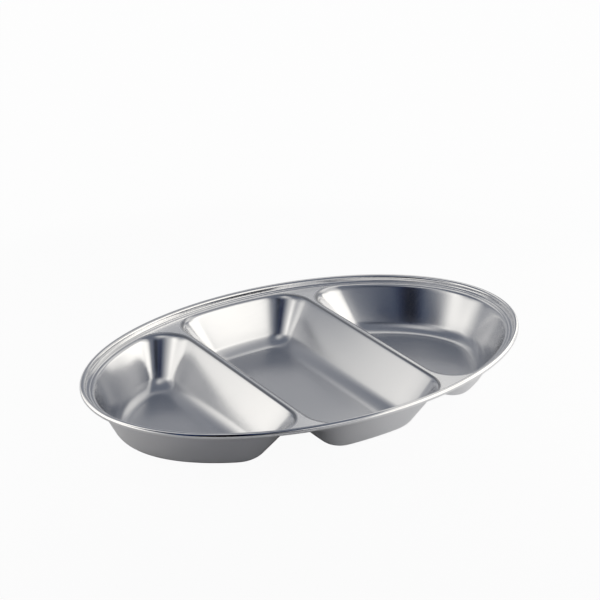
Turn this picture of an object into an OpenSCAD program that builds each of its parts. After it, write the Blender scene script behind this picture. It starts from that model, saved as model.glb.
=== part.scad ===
// Oval divided serving dish, deep-drawn from one sheet of stainless steel.
//
// The whole dish is one pressing, and its formed zones are kept apart here:
// the rolled rim, the ledge that a cover rests on, three wells and the two
// dividers between them. Each zone ends face to face with the next.
//
// Seen from above, the rim is an ellipse. The ledge follows it on ellipses with
// shorter half-axes, and the wells draw in from them, further along the sides
// than at the ends. The dish rests on the undersides of its three wells, at
// height zero.

/* [Dish] */
// Length of the dish over the rim
dish_len = 350; // [330:5:400]
// Width of the dish over the rim
dish_wid = 229; // [220:1:250]
// Thickness of the sheet
sheet_t = 0.8; // [0.6:0.1:1.2]

/* [Rim] */
// Diameter of the rolled edge
bead_d = 4.2; // [3.4:0.2:6]
// Gap between the curled edge and the collar that it turns back to
curl_gap = 0.4; // [0.2:0.1:0.8]
// Drop from the middle of the rolled edge to the top of the ledge
collar_h = 2.6; // [2.4:0.2:8]
// Radius of the groove where the collar turns into the ledge
groove_r = 1; // [0.9:0.1:1.6]
// Flat width of the ledge that a cover rests on
ledge_w = 1; // [1:0.2:6]
// Height of the step from the ledge down to the deck
step_h = 0.6; // [0.5:0.1:1.6]
// Mean radius of the step's two bends
step_bend_r = 0.9; // [0.9:0.1:1.5]
// Flat margin of deck between that step and the wells
margin_w = 0.4; // [0.4:0.2:4]

/* [Wells] */
// Depth of the wells below the deck
well_depth = 32.5; // [28:0.5:45]
// Level run of the walls at the ends of the dish, from shoulder to floor
end_wall_run = 25.5; // [20:0.5:30]
// Level run of the walls along the sides of the dish, from shoulder to floor
side_wall_run = 29.5; // [26:0.5:34]
// Level run of the walls along the dividers, from shoulder to floor
divider_wall_run = 33; // [28:1:38]
// Radius of the shoulder where the deck turns down into a well
shoulder_r = 3; // [2:0.5:5]
// Radius of the fillet between a wall and the floor
floor_fillet_r = 15; // [8:1:18]
// Corner radius of the wells at the deck
deck_corner_r = 23; // [18:1:28]
// Corner radius of the wells at the floor
floor_corner_r = 6; // [4:1:12]

/* [Dividers] */
// Distance from the middle of the dish to the middle of each divider
divider_x = 56.5; // [50:0.5:62]
// Flat width of a divider's crest
crest_w = 1; // [0.5:0.5:6]

/* [Hidden] */

steel = [0.78, 0.78, 0.79];
steel_shade = [0.70, 0.71, 0.73];
steel_deep = [0.62, 0.63, 0.66];

// Segments of the rim, of a well's outline, and of the curves in the sections.
rim_steps = 76;
end_steps = 14;
side_steps = 5;
corner_steps = 8;
shoulder_steps = 4;
fillet_steps = 6;
bend_steps = 3;
over_steps = 8;
under_steps = 4;

// Number of times that the search for a corner's place halves its interval.
halvings = 24;

// Heights, from the table up. Each is the upper side of the sheet.
floor_z = sheet_t;
deck_z = floor_z + well_depth;
ledge_z = deck_z + step_h;
bead_z = ledge_z + collar_h;
bead_r = bead_d / 2;

half_len = dish_len / 2;
half_wid = dish_wid / 2;

// Places across the rim, measured level from its outermost edge inwards.
groove_u = bead_d + groove_r;
ledge_u = groove_u + ledge_w;
step_angle = acos(1 - step_h / (2 * step_bend_r));
deck_u = ledge_u + 2 * step_bend_r * sin(step_angle);
well_u = deck_u + margin_w;

// Points on an arc about a centre, without its first point when that is shared.
function arc(c, r, a0, a1, steps, first = 0) = [
    for (i = [first:steps])
        let (a = a0 + (a1 - a0) * i / steps)
        c + r * [cos(a), sin(a)]
];

// Half-axes of the rim's ellipse, drawn in by end_u at its ends and by side_u
// along its sides.
function drawn_in(end_u, side_u) = [half_len - end_u, half_wid - side_u];

// Points on the ellipse with the half-axes e, between two of its parameters.
function on_ellipse(e, t0, t1, steps, first = 0) = [
    for (i = [first:steps])
        let (t = t0 + (t1 - t0) * i / steps)
        [e.x * cos(t), e.y * sin(t)]
];

// Direction square to the ellipse, outwards, at its parameter t.
function outwards(e, t) =
    let (n = [e.y * cos(t), e.x * sin(t)])
    n / norm(n);

// Parameter at which a circle of radius r, its centre at x, touches the ellipse
// from inside. Of each interval the half is kept in which the centre passes x.
function touching(e, r, x, low, high, left) =
    let (t = (low + high) / 2)
    left == 0 ? t
        : e.x * cos(t) - r * outwards(e, t).x > x ? touching(e, r, x, t, high, left - 1)
        : touching(e, r, x, low, t, left - 1);

// A corner of radius r, its centre at x, inside the ellipse: the ellipse's
// parameter where they touch, the centre, and the direction from it to there.
function corner(e, r, x) =
    let (
        t = touching(e, r, x, 0, 90, halvings),
        out = outwards(e, t)
    )
    [t, [x, e.y * sin(t) - r * out.y], atan2(out.y, out.x)];

// The upper half of an outline, followed by its mirror image below.
function with_mirror(half) = concat(
    half,
    [for (i = [len(half) - 1:-1:0]) if (half[i].y > 0) [half[i].x, -half[i].y]]
);

// Outline of the right-hand well, whose flank stands at x.
function end_outline(e, x, r) =
    let (k = corner(e, r, x + r))
    with_mirror(concat(
        on_ellipse(e, 0, k[0], end_steps),
        arc(k[1], r, k[2], 180, corner_steps, 1)
    ));

// Outline of the middle well, whose flanks stand at x and -x.
function middle_outline(e, x, r) =
    let (k = corner(e, r, x - r))
    with_mirror(concat(
        arc(k[1], r, 0, k[2], corner_steps),
        on_ellipse(e, k[0], 180 - k[0], 2 * side_steps, 1),
        arc([-k[1].x, k[1].y], r, 180 - k[2], 180, corner_steps, 1)
    ));

// Section of a well's wall along the sides of the dish: a shoulder, a straight
// flank and a floor fillet. The flank is the line that touches both curves from
// between them. Each entry is a place: share of the level run, depth, and slope
// from the horizontal. The other walls use the same places on their own runs.
bends_r = shoulder_r + floor_fillet_r;
bends_gap = norm([side_wall_run, well_depth - bends_r]);
wall_angle = atan2(well_depth - bends_r, side_wall_run) + asin(bends_r / bends_gap);
wall_section = concat(
    [for (i = [0:shoulder_steps])
        let (a = wall_angle * i / shoulder_steps)
        [shoulder_r * sin(a) / side_wall_run, shoulder_r * (1 - cos(a)), a]],
    [for (i = [fillet_steps:-1:0])
        let (a = wall_angle * i / fillet_steps)
        [1 - floor_fillet_r * sin(a) / side_wall_run, well_depth - floor_fillet_r * (1 - cos(a)), a]]
);

// One ring of a well at a place in the wall's section. skin is 0 on the upper
// side of the sheet and 1 on its underside. side is 0 for the middle well.
function well_ring(side, place, skin) =
    let (
        share = place[0],
        out = skin * sheet_t * sin(place[2]),
        z = deck_z - place[1] - skin * sheet_t * cos(place[2]),
        e = drawn_in(well_u + end_wall_run * share - out, well_u + side_wall_run * share - out),
        from_crest = crest_w / 2 + divider_wall_run * share - out,
        r = deck_corner_r + (floor_corner_r - deck_corner_r) * share + out,
        flat = side == 0
            ? middle_outline(e, divider_x - from_crest, r)
            : end_outline(e, divider_x + from_crest, r)
    )
    [for (p = flat) [p.x, p.y, z]];

// Strips of triangles between each ring of points and the next, n points to a
// ring, and from the last ring back to the first when the skin closes on itself.
function strips(rings, n, closed) = [
    for (k = [0:rings - (closed ? 1 : 2)], i = [0:n - 1])
        let (
            j = (i + 1) % n,
            next = (k + 1) % rings,
            a = k * n + i,
            b = k * n + j,
            c = next * n + j,
            d = next * n + i
        )
        each [[a, b, c], [a, c, d]]
];

// A well: the rings of both sides of the sheet, closed by its edge at the deck
// and by the two faces of the floor.
module well(side) {
    levels = len(wall_section);
    rings = concat(
        [for (i = [levels - 1:-1:0]) well_ring(side, wall_section[i], 0)],
        [for (i = [0:levels - 1]) well_ring(side, wall_section[i], 1)]
    );
    n = len(rings[0]);
    floor_top = [for (i = [n - 1:-1:0]) i];
    floor_under = [for (i = [0:n - 1]) (len(rings) - 1) * n + i];
    polyhedron(
        points = [for (ring = rings) each ring],
        faces = concat([floor_top], strips(len(rings), n, false), [floor_under])
    );
}

// A hoop of sheet round the whole dish. Each point of its section holds a place
// across the rim and a height, and the section is given anticlockwise.
module hoop(section) {
    rings = [
        for (place = section)
            [for (p = on_ellipse(drawn_in(place.x, place.x), 0, 360, rim_steps, 1)) [p.x, p.y, place.y]]
    ];
    polyhedron(
        points = [for (ring = rings) each ring],
        faces = strips(len(rings), rim_steps, true)
    );
}

// The rolled edge, from the collar up, over, outwards and back underneath.
// The curl stops short of the collar, so that its cut edge is tucked away.
module rolled_rim() {
    curl_sweep = 360 - acos(1 - (sheet_t + curl_gap) / bead_r);
    centre = [bead_r, bead_z];
    inner_r = bead_r - sheet_t;
    color(steel) hoop(concat(
        arc(centre, bead_r, 0, 180, over_steps),
        arc(centre, bead_r, 180, curl_sweep, under_steps, 1),
        arc(centre, inner_r, curl_sweep, 180, under_steps),
        arc(centre, inner_r, 180, 0, over_steps, 1)
    ));
}

// The collar inside the rolled edge, the groove, the flat ledge, the step and
// the margin of deck. Upper and lower sides of the sheet share their centres.
module cover_ledge() {
    groove_c = [groove_u, ledge_z + groove_r];
    tight_r = step_bend_r - sheet_t / 2;
    wide_r = step_bend_r + sheet_t / 2;
    brow_c = [ledge_u, ledge_z - wide_r];
    foot_c = [deck_u, deck_z + tight_r];
    color(steel_shade) hoop(concat(
        [[bead_d - sheet_t, bead_z]],
        arc(groove_c, groove_r + sheet_t, 180, 270, bend_steps),
        arc(brow_c, tight_r, 90, 90 - step_angle, bend_steps),
        arc(foot_c, wide_r, 270 - step_angle, 270, bend_steps, 1),
        [[well_u, deck_z - sheet_t], [well_u, deck_z]],
        arc(foot_c, tight_r, 270, 270 - step_angle, bend_steps),
        arc(brow_c, wide_r, 90 - step_angle, 90, bend_steps, 1),
        arc(groove_c, groove_r, 270, 180, bend_steps),
        [[bead_d, bead_z]]
    ));
}

// A divider: the narrow crest between two wells, and the decks at its ends
// that widen to the ledge. Its sides follow the outlines of both wells.
module divider() {
    e = drawn_in(well_u, well_u);
    mid = corner(e, deck_corner_r, divider_x - crest_w / 2 - deck_corner_r);
    end = corner(e, deck_corner_r, divider_x + crest_w / 2 + deck_corner_r);
    half = concat(
        arc(mid[1], deck_corner_r, 0, mid[2], corner_steps),
        on_ellipse(e, mid[0], end[0], side_steps, 1),
        arc(end[1], deck_corner_r, end[2], 180, corner_steps, 1)
    );
    translate([0, 0, deck_z - sheet_t]) linear_extrude(sheet_t) polygon(with_mirror(half));
}

module right_divider() {
    color(steel_shade) divider();
}

module left_divider() {
    color(steel_shade) rotate(180) divider();
}

module middle_well() {
    color(steel_deep) well(0);
}

module right_well() {
    color(steel) well(1);
}

module left_well() {
    color(steel) rotate(180) well(1);
}

rolled_rim();
cover_ledge();
left_divider();
right_divider();
left_well();
middle_well();
right_well();
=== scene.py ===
# %% [markdown]
# # An oval dish with three wells, pressed from one sheet of steel
#
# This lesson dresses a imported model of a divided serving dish. The real dish is one sheet of
# stainless steel. A press draws three wells into it, a second tool trims the blank to an
# ellipse, and a third curls the edge over into a hollow bead.
#
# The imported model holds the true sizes. Here every zone of the sheet is made again as a fine,
# smooth mesh, because polished metal shows each flat facet as a kink in its reflections.

# %% Load the frame
import math

import bpy
import numpy as np
from mathutils import Matrix, Vector


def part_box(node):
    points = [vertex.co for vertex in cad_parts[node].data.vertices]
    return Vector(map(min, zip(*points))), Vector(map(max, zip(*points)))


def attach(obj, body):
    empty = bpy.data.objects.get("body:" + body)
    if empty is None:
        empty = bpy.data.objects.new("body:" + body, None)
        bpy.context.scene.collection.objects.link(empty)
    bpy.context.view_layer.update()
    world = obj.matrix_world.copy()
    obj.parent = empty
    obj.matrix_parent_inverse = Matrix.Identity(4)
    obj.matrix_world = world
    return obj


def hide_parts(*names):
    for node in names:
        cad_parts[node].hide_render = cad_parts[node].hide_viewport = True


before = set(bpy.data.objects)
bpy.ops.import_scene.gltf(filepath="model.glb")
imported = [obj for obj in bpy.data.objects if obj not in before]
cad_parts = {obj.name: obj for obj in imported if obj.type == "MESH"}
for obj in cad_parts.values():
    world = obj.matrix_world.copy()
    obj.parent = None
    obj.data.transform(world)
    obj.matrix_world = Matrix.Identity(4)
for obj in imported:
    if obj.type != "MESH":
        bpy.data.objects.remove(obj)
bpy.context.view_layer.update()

print("nodes:", ", ".join(sorted(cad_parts)))

# %% [markdown]
# ## Sizes
#
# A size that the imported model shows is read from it, so that both stay one dish: the reach of
# the rim, the heights of the deck and of the bead, the thickness of the sheet, and where the
# wells start. A size that no box can show, such as a radius, is a named value in millimetres.

# %% Read the sizes from the frame
MM = 0.001
RIM_LOW, RIM_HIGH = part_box("rolled_rim")
HALF_LEN = RIM_HIGH.x
HALF_WID = RIM_HIGH.y
BEAD_R = (RIM_HIGH.z - RIM_LOW.z) / 2
BEAD_Z = RIM_LOW.z + BEAD_R
DECK_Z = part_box("left_divider")[1].z
SHEET = DECK_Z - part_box("left_divider")[0].z
WELL_DEPTH = DECK_Z - SHEET
WELL_U = HALF_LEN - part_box("right_well")[1].x
CREST_LOW_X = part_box("middle_well")[1].x
CREST_HIGH_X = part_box("right_well")[0].x

COLLAR_H = 2.6 * MM
GROOVE_R = 1.0 * MM
STEP_BEND_R = 0.9 * MM
MARGIN = 0.4 * MM
CURL_GAP = 0.4 * MM

END_RUN = 25.5 * MM
SIDE_RUN = 29.5 * MM
DIVIDER_RUN = 33.0 * MM
SHOULDER_R = 3.0 * MM
FILLET_R = 15.0 * MM
DECK_CORNER_R = 23.0 * MM
FLOOR_CORNER_R = 6.0 * MM

print(f"dish {2 * HALF_LEN / MM:.1f} x {2 * HALF_WID / MM:.1f} x {RIM_HIGH.z / MM:.1f} mm")
print(f"wells {WELL_DEPTH / MM:.1f} mm deep, in sheet of {SHEET / MM:.2f} mm")

# %% [markdown]
# ## Curves
#
# Seen from above, the rim is an ellipse, and each well is an ellipse cut by the straight flank
# of a divider, with round corners between the two. A curve object can be bent until it looks
# like that. Points from the formulas of an ellipse and a circle are exact, and every ring gets
# the same number of them.
#
# A corner is a circle that touches the ellipse from inside and the flank. Its centre is found
# by halving: slide along the ellipse until a circle that touches it there stands at the right
# distance from the flank.

# %% Curves and corners
HALVINGS = 40


def on_ellipse(a, b, t):
    """Points of an ellipse with half-axes a and b, at the parameters t."""
    return np.stack([a * np.cos(t), b * np.sin(t)], -1)


def on_circle(centre, r, start, end, steps):
    """Points on an arc, both ends included."""
    angle = np.linspace(start, end, steps + 1)
    return np.stack([centre[0] + r * np.cos(angle), centre[1] + r * np.sin(angle)], -1)


def corner(a, b, r, x):
    """Where a circle of radius r, centred at x, touches the ellipse: parameter, centre, angle."""
    low, high = 0.0, math.pi / 2
    for _ in range(HALVINGS):
        t = (low + high) / 2
        normal = np.array([b * math.cos(t), a * math.sin(t)])
        normal /= np.linalg.norm(normal)
        if a * math.cos(t) - r * normal[0] > x:
            low = t
        else:
            high = t
    centre = np.array([x, b * math.sin(t) - r * normal[1]])
    return t, centre, math.atan2(normal[1], normal[0])


trial = corner(HALF_LEN, HALF_WID, DECK_CORNER_R, CREST_LOW_X)
print("centre of a trial corner, m:", trial[1].round(4))

# %% [markdown]
# ## Outlines
#
# An outline of an end well runs along the ellipse, round a corner, down the flank and back as
# its own mirror image. The middle well has two flanks, and the ellipse closes both of its ends.
# Cutting an ellipse with a box would leave other points on every ring, and rings can be joined
# point by point only when their numbers agree.

# %% Outlines of the wells
ELLIPSE_STEPS = 128
CORNER_STEPS = 28
FLANK_STEPS = 20


def joined(*runs):
    """Runs of points end to end, with each shared point kept once."""
    return np.vstack([runs[0]] + [run[1:] for run in runs[1:]])


def flank(x, y, steps):
    """A straight flank at x, from y down to -y."""
    return np.stack([np.full(steps + 1, x), np.linspace(y, -y, steps + 1)], -1)


def end_outline(a, b, x, r):
    """The right-hand well: ellipse, corner, flank at x, corner and ellipse again."""
    t, centre, angle = corner(a, b, r, x + r)
    upper = joined(
        on_ellipse(a, b, np.linspace(0, t, ELLIPSE_STEPS + 1)),
        on_circle(centre, r, angle, math.pi, CORNER_STEPS),
    )
    lower = upper[::-1] * [1, -1]
    return joined(upper, flank(x, centre[1], FLANK_STEPS), lower)[:-1]


def middle_outline(a, b, x, r):
    """The middle well: two flanks at x and -x, and an arc of the ellipse at each end."""
    t, centre, angle = corner(a, b, r, x - r)
    upper = joined(
        on_circle(centre, r, 0, angle, CORNER_STEPS),
        on_ellipse(a, b, np.linspace(t, math.pi - t, ELLIPSE_STEPS + 1)),
        on_circle(centre * [-1, 1], r, math.pi - angle, math.pi, CORNER_STEPS),
    )
    left = flank(-x, centre[1], FLANK_STEPS)
    return joined(upper, left, -upper[1:], flank(x, centre[1], FLANK_STEPS)[::-1])[:-1]


trial = (HALF_LEN, HALF_WID, CREST_LOW_X, DECK_CORNER_R)
sharp = end_outline(*trial)
print("points in an end well's ring:", len(sharp))
print("points in the middle well's ring:", len(middle_outline(*trial)))

# %% [markdown]
# ## Easing
#
# Where a flank meets a corner, the curvature jumps. Polished metal shows such a jump as a hard
# edge in its reflection, and real sheet flows past it. A smoothing modifier would blur the
# whole mesh and its borders. Here an outline is eased by itself, as far as its ring needs: each
# point moves to the weighted middle of its neighbours along the line.

# %% Ease an outline
EASE_SPAN = 2.5
EASE_SAMPLES = 41
EASE_PLACES = np.linspace(-EASE_SPAN, EASE_SPAN, EASE_SAMPLES)
EASE_WEIGHTS = np.exp(-EASE_PLACES**2 / 2)
EASE_WEIGHTS /= EASE_WEIGHTS.sum()


def eased(outline, reach):
    """A closed outline with each change of its curvature spread over a distance."""
    closed = np.vstack([outline, outline[:1]])
    steps = np.linalg.norm(np.diff(closed, axis=0), axis=1)
    length = np.concatenate([[0], np.cumsum(steps)])
    samples = (length[:-1, None] + reach * EASE_PLACES) % length[-1]
    return np.stack([np.interp(samples, length, axis) @ EASE_WEIGHTS for axis in closed.T], -1)


moved = np.linalg.norm(eased(sharp, SHOULDER_R) - sharp, axis=1).max()
print(f"eased over {SHOULDER_R / MM:.0f} mm, a point moves by at most {moved / MM:.2f} mm")

# %% [markdown]
# ## Sections
#
# A well's wall goes over a shoulder, down a straight flank and through a wide fillet into the
# floor. The flank is the line that touches both curves from between them. Each place on the
# wall is a share of its level run, a depth and a slope. The walls at the ends of the dish,
# along its sides and along the dividers use the same places, each on its own run.

# %% The section of a wall
SHOULDER_STEPS = 10
FLANK_RINGS = 20
FILLET_STEPS = 28


def places(share, depth, slope):
    """A table of places, one row for each slope."""
    return np.stack([share, depth, slope], -1)


def wall_section():
    """Places down a wall, from the deck to the floor."""
    bends = SHOULDER_R + FILLET_R
    drop = WELL_DEPTH - bends
    steep = math.atan2(drop, SIDE_RUN) + math.asin(bends / math.hypot(SIDE_RUN, drop))
    slope = np.linspace(0, steep, SHOULDER_STEPS + 1)
    across, down = SHOULDER_R * np.sin(slope), SHOULDER_R * (1 - np.cos(slope))
    shoulder = places(across / SIDE_RUN, down, slope)
    slope = np.linspace(steep, 0, FILLET_STEPS + 1)
    across, up = FILLET_R * np.sin(slope), FILLET_R * (1 - np.cos(slope))
    fillet = places(1 - across / SIDE_RUN, WELL_DEPTH - up, slope)
    along = np.linspace(0, 1, FLANK_RINGS + 1)[1:-1, None]
    return np.vstack([shoulder, shoulder[-1] + (fillet[0] - shoulder[-1]) * along, fillet])


SECTION = wall_section()
steepest = math.degrees(SECTION[:, 2].max())
print(f"{len(SECTION)} places down a wall, which leans {steepest:.1f} degrees")

# %% [markdown]
# ## Meshes
#
# Every zone is built from rings of points, joined by quads into a closed skin round the
# thickness of the sheet. The rings run so that every face looks outwards. Points made
# by a formula beat a subdivided cage here, because the borders of two zones then fall on the
# same line to the last digit. Each border also runs a little way across flat sheet, so that the
# shading normals of both neighbours agree and no seam shows in the reflections.

# %% The mesh builder
SHARP = math.radians(40)
SEAM = 0.2 * MM


def quads(first, second, count):
    """Faces between two rings of points, given where each ring starts."""
    pairs = [(i, (i + 1) % count) for i in range(count)]
    return [(first + i, first + j, second + j, second + i) for i, j in pairs]


def skin(name, rings, caps=False, loop=False):
    """A closed skin through rings of points. It ends in two caps or joins up with its start."""
    count = len(rings[0])
    starts = [k * count for k in range(len(rings))]
    faces = [face for one, two in zip(starts, starts[1:]) for face in quads(one, two, count)]
    if loop:
        faces += quads(starts[-1], starts[0], count)
    if caps:
        faces.append(tuple(reversed(range(count))))
        faces.append(tuple(starts[-1] + i for i in range(count)))
    mesh = bpy.data.meshes.new(name)
    mesh.from_pydata(np.vstack(rings).tolist(), [], faces)
    mesh.shade_smooth()
    mesh.set_sharp_from_angle(angle=SHARP)
    mesh.validate()
    piece = bpy.data.objects.new(name, mesh)
    bpy.context.scene.collection.objects.link(piece)
    print(f"{name}: {len(mesh.vertices)} points, {len(mesh.polygons)} faces")
    return piece


def at_height(outline, z):
    """A flat outline as a ring of points at height z."""
    return np.column_stack([outline, np.full(len(outline), z)])


def settle(piece, node):
    """Makes a piece stand for its node and ride on the dish's one body."""
    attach(piece, "root")
    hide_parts(node)


# %% [markdown]
# ## The rolled rim
#
# The edge of the sheet is turned up, over, outwards and back under itself, until it nearly
# touches the collar again. It stiffens the dish and leaves no cut edge to the hand. A bevelled
# curve would make a solid rod. Rings along the section make the hollow curl with its slit,
# which can be seen from below.

# %% Make the rolled rim
RIM_STEPS = 400
CURL_STEPS = 40
AROUND = np.linspace(0, math.tau, RIM_STEPS, endpoint=False)


def rim_ring(u, z):
    """A ring round the whole dish, drawn in by u from the outermost edge."""
    return at_height(on_ellipse(HALF_LEN - u, HALF_WID - u, AROUND), z)


def section_rings(points):
    """Rings through the points (u, z) of a section."""
    return [rim_ring(u, z) for u, z in points]


def make_rolled_rim():
    sweep = math.tau - math.acos(1 - (SHEET + CURL_GAP) / BEAD_R)
    centre = (BEAD_R, BEAD_Z)
    outer = on_circle(centre, BEAD_R, 0, sweep, CURL_STEPS)
    inner = on_circle(centre, BEAD_R - SHEET, sweep, 0, CURL_STEPS)
    below = [0, -SEAM]
    section = np.vstack([outer[0] + below, outer, inner, inner[-1] + below])
    return skin("rim", section_rings(section[::-1]), loop=True)


rolled_rim = make_rolled_rim()
settle(rolled_rim, "rolled_rim")

# %% [markdown]
# ## The cover ledge
#
# Inside the bead the sheet drops as a collar, turns through a groove into a flat ledge that can
# carry a cover, and steps down to the deck. Scaling one ellipse for every ring would widen the
# step at the ends of the dish. Here each ring is an ellipse of its own, with both half-axes
# shorter by the same amount. In a bend both faces of the sheet turn round one centre, so that
# it keeps its thickness.

# %% Make the cover ledge
BEND_STEPS = 10
LEDGE_Z = BEAD_Z - COLLAR_H
GROOVE_U = 2 * BEAD_R + GROOVE_R
STEP_TURN = math.acos(1 - (LEDGE_Z - DECK_Z) / (2 * STEP_BEND_R))
DECK_U = WELL_U - MARGIN
LEDGE_U = DECK_U - 2 * STEP_BEND_R * math.sin(STEP_TURN)


def make_cover_ledge():
    tight = STEP_BEND_R - SHEET / 2
    wide = STEP_BEND_R + SHEET / 2
    groove = (GROOVE_U, LEDGE_Z + GROOVE_R)
    brow = (LEDGE_U, LEDGE_Z - wide)
    foot = (DECK_U, DECK_Z + tight)
    quarter = math.pi / 2
    turn = STEP_TURN
    upper = [
        [[2 * BEAD_R, BEAD_Z - SEAM]],
        on_circle(groove, GROOVE_R, 2 * quarter, 3 * quarter, BEND_STEPS),
        on_circle(brow, wide, quarter, quarter - turn, BEND_STEPS),
        on_circle(foot, tight, 3 * quarter - turn, 3 * quarter, BEND_STEPS)[1:],
        [[WELL_U - SEAM, DECK_Z]],
    ]
    lower = [
        [[WELL_U - SEAM, DECK_Z - SHEET]],
        on_circle(foot, wide, 3 * quarter, 3 * quarter - turn, BEND_STEPS),
        on_circle(brow, tight, quarter - turn, quarter, BEND_STEPS)[1:],
        on_circle(groove, GROOVE_R + SHEET, 3 * quarter, 2 * quarter, BEND_STEPS),
        [[2 * BEAD_R - SHEET, BEAD_Z - SEAM]],
    ]
    return skin("ledge", section_rings(np.vstack(upper + lower)), loop=True)


cover_ledge = make_cover_ledge()
settle(cover_ledge, "cover_ledge")

# %% [markdown]
# ## The wells
#
# A well is a pocket that the punch draws down from the deck, one for each kind of food. Rounding
# a box with a bevel would give one radius all the way down, but these corners tighten on the
# way to the floor, so each ring gets its own radius.
#
# The rings go from the middle of the floor up to the deck on the underside of the sheet, and
# back down on its upper face. On the underside each ring stands off by the thickness of the
# sheet, square to the slope of the wall. The floor's own rings close in on its middle.
# The outlines are eased from a little below the deck on, because the border with a divider has
# to stay where the divider has it.

# %% Make the wells
FLOOR_SHARES = (0.3, 0.65, 0.97)
EASE = 0.28
EASE_FULL = 0.1


def well_ring(side, place, under, spare=0.0):
    """One ring of a well. side is 1 for an end well, and under is 1 for the underside."""
    share, depth, slope = place
    out = under * SHEET * math.sin(slope) + spare
    a = HALF_LEN - WELL_U - END_RUN * share + out
    b = HALF_WID - WELL_U - SIDE_RUN * share + out
    r = DECK_CORNER_R + (FLOOR_CORNER_R - DECK_CORNER_R) * share + out
    from_crest = DIVIDER_RUN * share - out
    if side:
        outline = end_outline(a, b, CREST_HIGH_X + from_crest, r)
    else:
        outline = middle_outline(a, b, CREST_LOW_X - from_crest, r)
    reach = EASE * r * min(1.0, share / EASE_FULL)
    if reach > 0:
        outline = eased(outline, reach)
    return at_height(outline, DECK_Z - depth - under * SHEET * math.cos(slope))


def floor_rings(rim):
    """Rings on a floor, from near its middle outwards."""
    middle = (rim.min(0) + rim.max(0)) / 2
    return [middle + (rim - middle) * share for share in FLOOR_SHARES]


def make_well(name, side, turned=False):
    lower = [well_ring(side, place, 1) for place in SECTION[::-1]]
    upper = [well_ring(side, place, 0) for place in SECTION]
    borders = [well_ring(side, SECTION[0], under, SEAM) for under in (1, 0)]
    rings = floor_rings(lower[0]) + lower + borders + upper + floor_rings(upper[-1])[::-1]
    if turned:
        rings = [ring * [-1, -1, 1] for ring in rings]
    return skin(name, rings, caps=True)


right_well = make_well("well_right", 1)
left_well = make_well("well_left", 1, turned=True)
middle_well = make_well("well_middle", 0)
settle(right_well, "right_well")
settle(left_well, "left_well")
settle(middle_well, "middle_well")

# %% [markdown]
# ## The dividers
#
# Between two wells only a narrow crest of the first sheet is left. It widens at both ends into
# a small three-sided deck that runs up to the ledge. It is flat, so one outline and the
# thickness of the sheet describe it. The outline is taken from the wells that it parts.

# %% Make the dividers
DECK_STEPS = 12


def divider_outline():
    """The right-hand divider: a corner of each neighbour, with the ellipse between them."""
    a = HALF_LEN - WELL_U + SEAM
    b = HALF_WID - WELL_U + SEAM
    r = DECK_CORNER_R + SEAM
    inner_t, inner, inner_angle = corner(a, b, r, CREST_LOW_X + SEAM - r)
    outer_t, outer, outer_angle = corner(a, b, r, CREST_HIGH_X - SEAM + r)
    half = joined(
        on_circle(inner, r, 0, inner_angle, CORNER_STEPS),
        on_ellipse(a, b, np.linspace(inner_t, outer_t, DECK_STEPS + 1)),
        on_circle(outer, r, outer_angle, math.pi, CORNER_STEPS),
    )
    return np.vstack([half, half[::-1] * [1, -1]])


def make_divider(name, turned=False):
    outline = divider_outline() * (-1 if turned else 1)
    return skin(name, [at_height(outline, DECK_Z), at_height(outline, DECK_Z - SHEET)], caps=True)


right_divider = make_divider("divider_right")
left_divider = make_divider("divider_left", turned=True)
settle(right_divider, "right_divider")
settle(left_divider, "left_divider")

# %% [markdown]
# ## Shader sums as Python expressions
#
# A shader tree is easier to read as a formula. This small class wraps a socket, and each
# operator adds the Math node that it stands for.

# %% The socket class
class Value:
    """A socket in a node tree that can be used in sums."""

    def __init__(self, tree, socket):
        self.tree = tree
        self.socket = socket

    def node(self, kind, settings=(), inputs=(), output=0):
        """Adds a node: its settings first, then values or links for its sockets."""
        node = self.tree.nodes.new(kind)
        for name, value in dict(settings).items():
            setattr(node, name, value)
        for key, value in dict(inputs).items():
            if isinstance(value, Value):
                self.tree.links.new(value.socket, node.inputs[key])
            else:
                node.inputs[key].default_value = value
        return Value(self.tree, node.outputs[output])

    def beside(self, output):
        """Another output of the node that this value comes from."""
        return Value(self.tree, self.socket.node.outputs[output])

    def maths(self, operation, *values):
        return self.node("ShaderNodeMath", {"operation": operation}, dict(enumerate(values)))

    def __add__(self, other):
        return self.maths("ADD", self, other)

    __radd__ = __add__

    def __sub__(self, other):
        return self.maths("SUBTRACT", self, other)

    def __rsub__(self, other):
        return self.maths("SUBTRACT", other, self)

    def __mul__(self, other):
        return self.maths("MULTIPLY", self, other)

    __rmul__ = __mul__

    def __truediv__(self, other):
        return self.maths("DIVIDE", self, other)

    def magnitude(self):
        return self.maths("ABSOLUTE", self)

    def ease(self, low, high):
        """0 at low and 1 at high, smooth in between."""
        return self.node(
            "ShaderNodeMapRange",
            {"interpolation_type": "SMOOTHSTEP"},
            {"Value": self, "From Min": low, "From Max": high},
        )


def new_tree(owner):
    """An empty node tree on a material or world, and its output node."""
    owner.use_nodes = True
    tree = owner.node_tree
    tree.nodes.clear()
    kind = "World" if isinstance(owner, bpy.types.World) else "Material"
    return Value(tree, None), tree.nodes.new("ShaderNodeOutput" + kind)


print("shader class ready")

# %% [markdown]
# ## Marks of the making and a painted shade line
#
# A dark line is painted into the colour along the bends beside the dividers: painted shade that
# stands in for a dark reflection there. A polishing wheel hardly reaches the feet of the walls,
# so the floors are duller. Both marks could be painted on a texture. Here each is a mask worked
# out from the place on the dish, so that it follows the sizes when they change.

# %% Masks for the duller feet and the painted shade line
FOOT_START = 0.55 * WELL_DEPTH
FOOT_END = 0.85 * WELL_DEPTH
CREST_MIDDLE = (CREST_LOW_X + CREST_HIGH_X) / 2
# Where the painted shade line lies: a band just below the deck, near the crests.
SHADE_LINE_START = 0.02 * MM
SHADE_LINE_END = 0.7 * MM
SHADE_LINE_SOFT = 0.15 * MM
SHADE_LINE_REACH = 4 * MM
SHADE_LINE_FADE = 16 * MM


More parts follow.
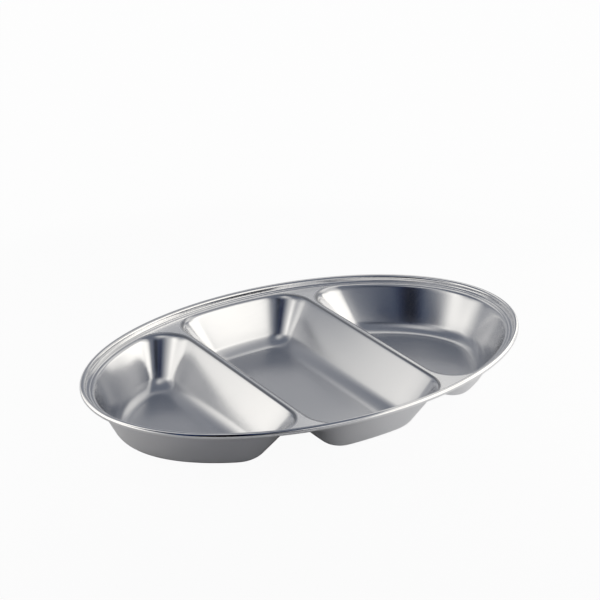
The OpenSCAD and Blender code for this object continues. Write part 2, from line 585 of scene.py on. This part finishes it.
def painted_shade_line(x, depth):
    """A mask of the painted shade lines on the bends beside the dividers."""
    below = depth.ease(SHADE_LINE_START, SHADE_LINE_START + SHADE_LINE_SOFT)
    above = depth.ease(SHADE_LINE_END + SHADE_LINE_SOFT, SHADE_LINE_END)
    aside = (x.magnitude() - CREST_MIDDLE).magnitude()
    return below * above * aside.ease(SHADE_LINE_REACH + SHADE_LINE_FADE, SHADE_LINE_REACH)


def foot_of_wall(depth):
    """A mask of the floors and the feet of the walls."""
    return depth.ease(FOOT_START, FOOT_END)


print(f"duller from {FOOT_START / MM:.1f} to {FOOT_END / MM:.1f} mm below the deck")

# %% [markdown]
# ## Steel
#
# The sheet is satin stainless steel: a metal with fine polishing marks that blur what it
# mirrors. The marks could be modelled as bumps, but they are far finer than a pixel, and
# roughness blurs in the same way. It wanders a little in long streaks, which keeps the
# reflections from looking like those of new chrome. One function finishes all zones. The decks
# and the rim are the same steel as the wells, painted lighter for the brighter light that they
# mirror.

# %% The steel finishes
STREAK_SCALE = (60, 900, 60)
STREAK_DETAIL = 3.0
NOISE_MIDDLE = 0.5
BLACK = (0, 0, 0, 1)

# A Mix node has sockets of the same name for numbers, vectors and colours. These are the ones
# that it uses for colours.
MIX_FACTOR, MIX_FIRST, MIX_SECOND, MIX_RESULT = 0, 6, 7, 2


def steel(name, colour, roughness, streaks, painted_shade=0.0, foot=0.0):
    """Satin steel. The last three arguments are the strengths of the streaks, of the painted shade
    line and of the duller feet.
    """
    material = bpy.data.materials.new(name)
    start, output = new_tree(material)
    place = start.node("ShaderNodeTexCoord", output="Object")
    x = start.node("ShaderNodeSeparateXYZ", {}, {"Vector": place})
    depth = DECK_Z - x.beside("Z")
    # Painted shade: the base colour is mixed towards black along the bends beside the dividers.
    share = painted_shade * painted_shade_line(x, depth)
    colours = {MIX_FACTOR: share, MIX_FIRST: (*colour, 1), MIX_SECOND: BLACK}
    colour_with_painted_shade = start.node("ShaderNodeMix", {"data_type": "RGBA"}, colours, MIX_RESULT)
    stretched = start.node("ShaderNodeMapping", {}, {"Vector": place, "Scale": STREAK_SCALE})
    noise = {"Vector": stretched, "Scale": 1.0, "Detail": STREAK_DETAIL}
    marks = start.node("ShaderNodeTexNoise", {}, noise)
    dull = roughness + foot * foot_of_wall(depth)
    dull = dull + streaks * (marks - NOISE_MIDDLE)
    sockets = {"Base Color": colour_with_painted_shade, "Metallic": 1.0, "Roughness": dull}
    shader = start.node("ShaderNodeBsdfPrincipled", {}, sockets)
    start.tree.links.new(shader.socket, output.inputs["Surface"])
    return material


# The wells carry the painted shade line, at 0.45 of the way to black.
WELL_STEEL = steel(
    "well steel", (0.74, 0.745, 0.76), roughness=0.19, streaks=0.05, painted_shade=0.45, foot=0.05
)
# Painted light: the decks and the rim get a lighter base colour than the wells, for the brighter
# light that they mirror.
DECK_STEEL_PAINTED_LIGHTER = steel("divider steel painted lighter", (0.97, 0.97, 0.975), roughness=0.32, streaks=0.05)
RIM_STEEL_PAINTED_LIGHTER = steel("rim steel painted lighter", (0.86, 0.86, 0.865), roughness=0.15, streaks=0.04)
for piece, material in (
    (left_well, WELL_STEEL),
    (middle_well, WELL_STEEL),
    (right_well, WELL_STEEL),
    (left_divider, DECK_STEEL_PAINTED_LIGHTER),
    (right_divider, DECK_STEEL_PAINTED_LIGHTER),
    (cover_ledge, RIM_STEEL_PAINTED_LIGHTER),
    (rolled_rim, RIM_STEEL_PAINTED_LIGHTER),
):
    piece.data.materials.append(material)
print("finishes:", ", ".join(m.name for m in (WELL_STEEL, DECK_STEEL_PAINTED_LIGHTER, RIM_STEEL_PAINTED_LIGHTER)))

# %% [markdown]
# ## The table
#
# The dish stands on a plain white table. The camera sees mostly plain white, and through it a
# small part of the shadow under the dish. The outer faces of the wells mirror the table close
# by, and they mirror more light towards the right. A pale patch painted on the table would show
# from above, so only reflections see it: the Light Path node tells them from other rays.

# %% Make the table
TABLE_SIZE = 12.0
TABLE_SHOWN = 0.95
TABLE_MIRRORED = 0.35
TABLE_TURN = 55 * MM
TABLE_PAINT = (0.86, 0.86, 0.87, 1)
PLAIN_WHITE = (1, 1, 1, 1)


def make_table():
    mesh = bpy.data.meshes.new("table")
    corners = [(-1, -1), (1, -1), (1, 1), (-1, 1)]
    reach = TABLE_SIZE / 2
    mesh.from_pydata([(reach * x, reach * y, 0) for x, y in corners], [], [(0, 1, 2, 3)])
    table = bpy.data.objects.new("table", mesh)
    bpy.context.scene.collection.objects.link(table)
    material = bpy.data.materials.new("white table")
    start, output = new_tree(material)
    camera_ray = start.node("ShaderNodeLightPath", output="Is Camera Ray")
    glossy_ray = camera_ray.beside("Is Glossy Ray")
    painted = start.node("ShaderNodeBsdfDiffuse", {}, {"Color": TABLE_PAINT})
    shown = start.node("ShaderNodeEmission", {}, {"Color": PLAIN_WHITE, "Strength": 1.0})
    place = start.node("ShaderNodeTexCoord", output="Object")
    x = start.node("ShaderNodeSeparateXYZ", {}, {"Vector": place})
    mirrored = TABLE_MIRRORED * glossy_ray * x.ease(-TABLE_TURN, TABLE_TURN)
    share = TABLE_SHOWN * camera_ray + mirrored
    mixed = start.node("ShaderNodeMixShader", {}, {0: share, 1: painted, 2: shown})
    start.tree.links.new(mixed.socket, output.inputs["Surface"])
    mesh.materials.append(material)
    return table


table = make_table()
print(f"{table.name}: {TABLE_SIZE} m wide")

# %% [markdown]
# ## Panels and cards
#
# Polished metal shows the room, so shiny tableware is lit inside a tent of pale cloth, with
# white panels and dark cards on it. A lamp for each panel would show in the metal with a hard
# edge, and a card that takes light away is no lamp. So each is a soft rectangle in the tent's
# own glow, seen from the dish: where its middle stands, its size as seen from a metre away, the
# softness of its edge, and the light that it adds or takes.

# %% List the panels
PANEL_FADE = 0.05
PANEL_NEAREST = 0.01
PANELS = (
    # bearing and height in degrees, half width, half height, softness, light
    (-108, 27, 0.32, 1.82, 0.33, 0.64),
    (139, 14, 2.05, 0.51, 0.16, 1.32),
    (-125, 11, 0.32, 1.31, 0.23, -0.53),
    (22, -4, 2.19, 0.52, 0.09, 0.27),
    (94, 46, 0.96, 0.25, 0.06, 0.52),
    (20, 40, 1.35, 0.18, 0.06, 0.20),
    (-69, -5, 0.58, 0.84, 0.78, 1.64),
    (159, 36, 0.06, 0.10, 0.09, -0.44),
    (-162, 6, 0.08, 0.65, 0.11, -0.26),
    (-169, 2, 0.44, 0.24, 0.10, -1.29),
    (-101, 26, 0.17, 0.17, 0.19, -1.18),
    (144, 26, 0.44, 0.20, 0.09, -0.64),
    (-88, 14, 0.54, 0.13, 0.22, -0.37),
    (174, 26, 0.15, 0.12, 0.14, -0.91),
    (85, 6, 0.18, 0.12, 0.06, -0.66),
    (-164, 17, 0.19, 0.17, 0.14, -0.69),
    (-170, 54, 0.15, 0.09, 0.05, -0.30),
    (-77, 42, 0.11, 0.11, 0.15, 0.86),
    (35, 22, 0.27, 0.15, 0.11, 0.04),
    (-47, 23, 0.09, 0.05, 0.06, 0.26),
    (-27, 9, 0.07, 0.04, 0.07, -0.40),
    (-55, 35, 0.14, 0.08, 0.07, -0.32),
    (-22, 17, 0.09, 0.10, 0.15, -0.16),
    (31, 35, 0.09, 0.10, 0.11, 0.27),
    (13, 22, 0.10, 0.05, 0.08, 0.19),
    (0, 39, 0.24, 0.07, 0.05, -0.12),
    (-91, 69, 0.15, 0.19, 0.29, -0.18),
)


def panel(start, direction, bearing, height, half_width, half_height, softness, light):
    """How much one panel adds in a direction of the tent."""
    bearing, height = math.radians(bearing), math.radians(height)
    right, forward = math.sin(bearing), math.cos(bearing)
    level, rise = math.cos(height), math.sin(height)
    towards = (right * level, forward * level, rise)
    across = (forward, -right, 0.0)
    upwards = (-right * rise, -forward * rise, level)

    def along(axis):
        product = {"operation": "DOT_PRODUCT"}
        return start.node("ShaderNodeVectorMath", product, {0: direction, 1: axis}, "Value")

    def within(distance, half):
        return distance.magnitude().ease(half + softness, half - softness)

    ahead = along(towards)
    reach = ahead.maths("MAXIMUM", ahead, PANEL_NEAREST)
    inside = within(along(across) / reach, half_width) * within(along(upwards) / reach, half_height)
    return inside * ahead.ease(0.0, PANEL_FADE) * light


print(sum(row[-1] > 0 for row in PANELS), "panels,", sum(row[-1] < 0 for row in PANELS), "cards")

# %% [markdown]
# ## The light tent
#
# The cloth is a dome close over the dish. A picture on the world's background could hold the
# same panels, but it stands endlessly far away, and every well would mirror the same part of
# it. On a near dome the reflections shift from one well to the next. The camera looks through
# the cloth, and the dish doesn't.

# %% Make the tent
TENT_REACH = 0.4
TENT_MIDDLE = 30 * MM
TENT_TURNS = 48
TENT_TIERS = 12
CLOTH = (0.152, 0.169, 0.210)
LAMP = (1.058, 1.013, 0.918)


def tent_cloth():
    material = bpy.data.materials.new("tent cloth")
    start, output = new_tree(material)
    place = start.node("ShaderNodeTexCoord", output="Object")
    direction = start.node("ShaderNodeVectorMath", {"operation": "NORMALIZE"}, {0: place})
    light = panel(start, direction, *PANELS[0])
    for row in PANELS[1:]:
        light = light + panel(start, direction, *row)
    tinted = {0: light, 1: LAMP, 2: CLOTH}
    colour = start.node("ShaderNodeVectorMath", {"operation": "MULTIPLY_ADD"}, tinted)
    shown = start.node("ShaderNodeVectorMath", {"operation": "MAXIMUM"}, {0: colour, 1: (0, 0, 0)})
    glow = start.node("ShaderNodeEmission", {}, {"Color": shown, "Strength": 1.0})
    start.tree.links.new(glow.socket, output.inputs["Surface"])
    return material


def make_tent():
    """A dome of tiers, each a ring of points, closed at the top by one point."""
    around = np.linspace(0, math.tau, TENT_TURNS, endpoint=False)
    tilts = np.linspace(0, math.pi / 2, TENT_TIERS, endpoint=False)
    tiers = [(TENT_REACH * math.cos(tilt), TENT_REACH * math.sin(tilt)) for tilt in tilts]
    rings = [at_height(on_ellipse(r, r, around), z) for r, z in tiers]
    points = np.vstack(rings + [[[0, 0, TENT_REACH]]])
    last = (TENT_TIERS - 1) * TENT_TURNS
    starts = range(0, last, TENT_TURNS)
    faces = [face for k in starts for face in quads(k, k + TENT_TURNS, TENT_TURNS)]
    faces += [(last + i, last + (i + 1) % TENT_TURNS, len(points) - 1) for i in range(TENT_TURNS)]
    mesh = bpy.data.meshes.new("light tent")
    mesh.from_pydata(points.tolist(), [], faces)
    mesh.materials.append(tent_cloth())
    tent = bpy.data.objects.new("light_tent", mesh)
    tent.location = (0, 0, TENT_MIDDLE)
    tent.visible_camera = False
    bpy.context.scene.collection.objects.link(tent)
    return tent


tent = make_tent()
print(f"{tent.name}: {TENT_REACH} m in radius, {TENT_TIERS} tiers")

# %% [markdown]
# ## The backdrop
#
# Outside the tent the world is plain white to the camera and to reflections, and lights the
# rest of the table a little less. A wall of white paper would do that too, but its edge could
# come into a wide view.

# %% Paint the backdrop
WORLD_LIGHT = 0.8


def paint_backdrop():
    world = bpy.data.worlds.new("backdrop")
    bpy.context.scene.world = world
    start, output = new_tree(world)
    camera_ray = start.node("ShaderNodeLightPath", output="Is Camera Ray")
    glossy_ray = camera_ray.beside("Is Glossy Ray")
    strength = WORLD_LIGHT + (1 - WORLD_LIGHT) * (camera_ray + glossy_ray)
    sockets = {"Color": PLAIN_WHITE, "Strength": strength}
    background = start.node("ShaderNodeBackground", {}, sockets)
    start.tree.links.new(background.socket, output.inputs["Surface"])


paint_backdrop()
print("world light", WORLD_LIGHT)

# %% [markdown]
# ## The camera
#
# The dish is seen from in front and to the left, a little above. The lens is long, so the
# ellipse of the rim hardly tapers. A Track To constraint could aim the camera, but it would get
# in the way of views that move it. So its three axes are worked out from a bearing and a
# height, and it slides a little along two of them to place the dish in the frame.

# %% Set the camera
CAMERA_BEARING = math.radians(-33.32)
CAMERA_HEIGHT = math.radians(23.98)
CAMERA_DISTANCE = 1351.4 * MM
CAMERA_RIGHT = -4.79 * MM
CAMERA_UP = 35.96 * MM
SENSOR = 36.0
LENS = 111.43


def set_camera():
    back = Vector((
        math.sin(CAMERA_BEARING) * math.cos(CAMERA_HEIGHT),
        -math.cos(CAMERA_BEARING) * math.cos(CAMERA_HEIGHT),
        math.sin(CAMERA_HEIGHT),
    ))
    right = Vector((math.cos(CAMERA_BEARING), math.sin(CAMERA_BEARING), 0))
    up = back.cross(right)
    data = bpy.data.cameras.new("camera")
    data.sensor_width = SENSOR
    data.lens = LENS
    camera = bpy.data.objects.new("camera", data)
    place = Vector((0, 0, BEAD_Z)) + CAMERA_RIGHT * right + CAMERA_UP * up + CAMERA_DISTANCE * back
    turn = Matrix((right, up, back)).transposed().to_4x4()
    camera.matrix_world = Matrix.Translation(place) @ turn
    bpy.context.scene.collection.objects.link(camera)
    bpy.context.scene.camera = camera
    return camera


camera = set_camera()
bpy.context.scene.view_settings.view_transform = "Standard"
print("camera at", [round(c, 4) for c in camera.matrix_world.translation])
